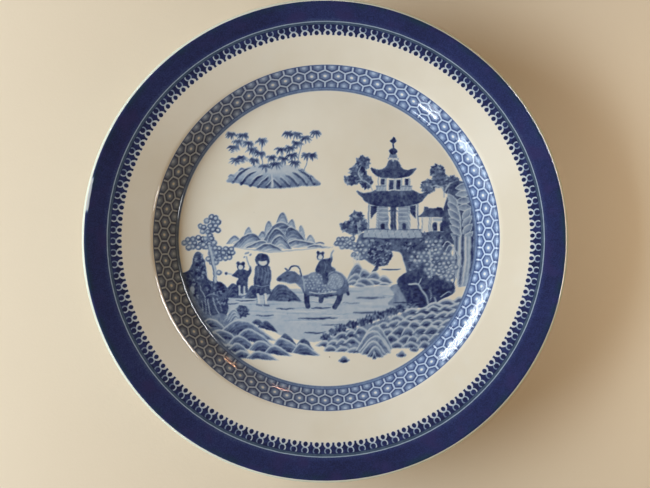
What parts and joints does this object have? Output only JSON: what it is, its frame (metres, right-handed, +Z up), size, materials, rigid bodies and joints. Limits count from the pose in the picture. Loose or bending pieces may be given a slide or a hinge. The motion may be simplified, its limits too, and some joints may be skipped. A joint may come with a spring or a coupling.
{
  "type": "dinner plate",
  "caption": "Round china plate with a wide flanged rim, a steep curved wall, a flat printed well and a turned foot ring.",
  "frame": {"origin": "on the table, on the plate's axis, at the middle of the foot ring", "axes": "+Z up out of the plate's face along its axis, +Y towards the top of the painted scene, +X to the scene's right"},
  "size_m": [0.2498, 0.2498, 0.0259],
  "materials": {
    "bare_clay": "unglazed fired porcelain, matte",
    "clear_glaze": "glossy blue-white glaze over porcelain",
    "dark_cobalt": "dark cobalt under glossy glaze",
    "washed_cobalt": "cobalt lines and pale washes under glossy glaze"
  },
  "bodies": {
    "root": {"clay_body": "bare_clay", "foot_ring": "bare_clay", "centre_scene_print": "washed_cobalt", "honeycomb_border_print": "washed_cobalt", "lace_border_print": "dark_cobalt", "rim_band": "dark_cobalt", "glaze_coat": "clear_glaze", "base_glaze": "clear_glaze"}
  },
  "joints": []
}
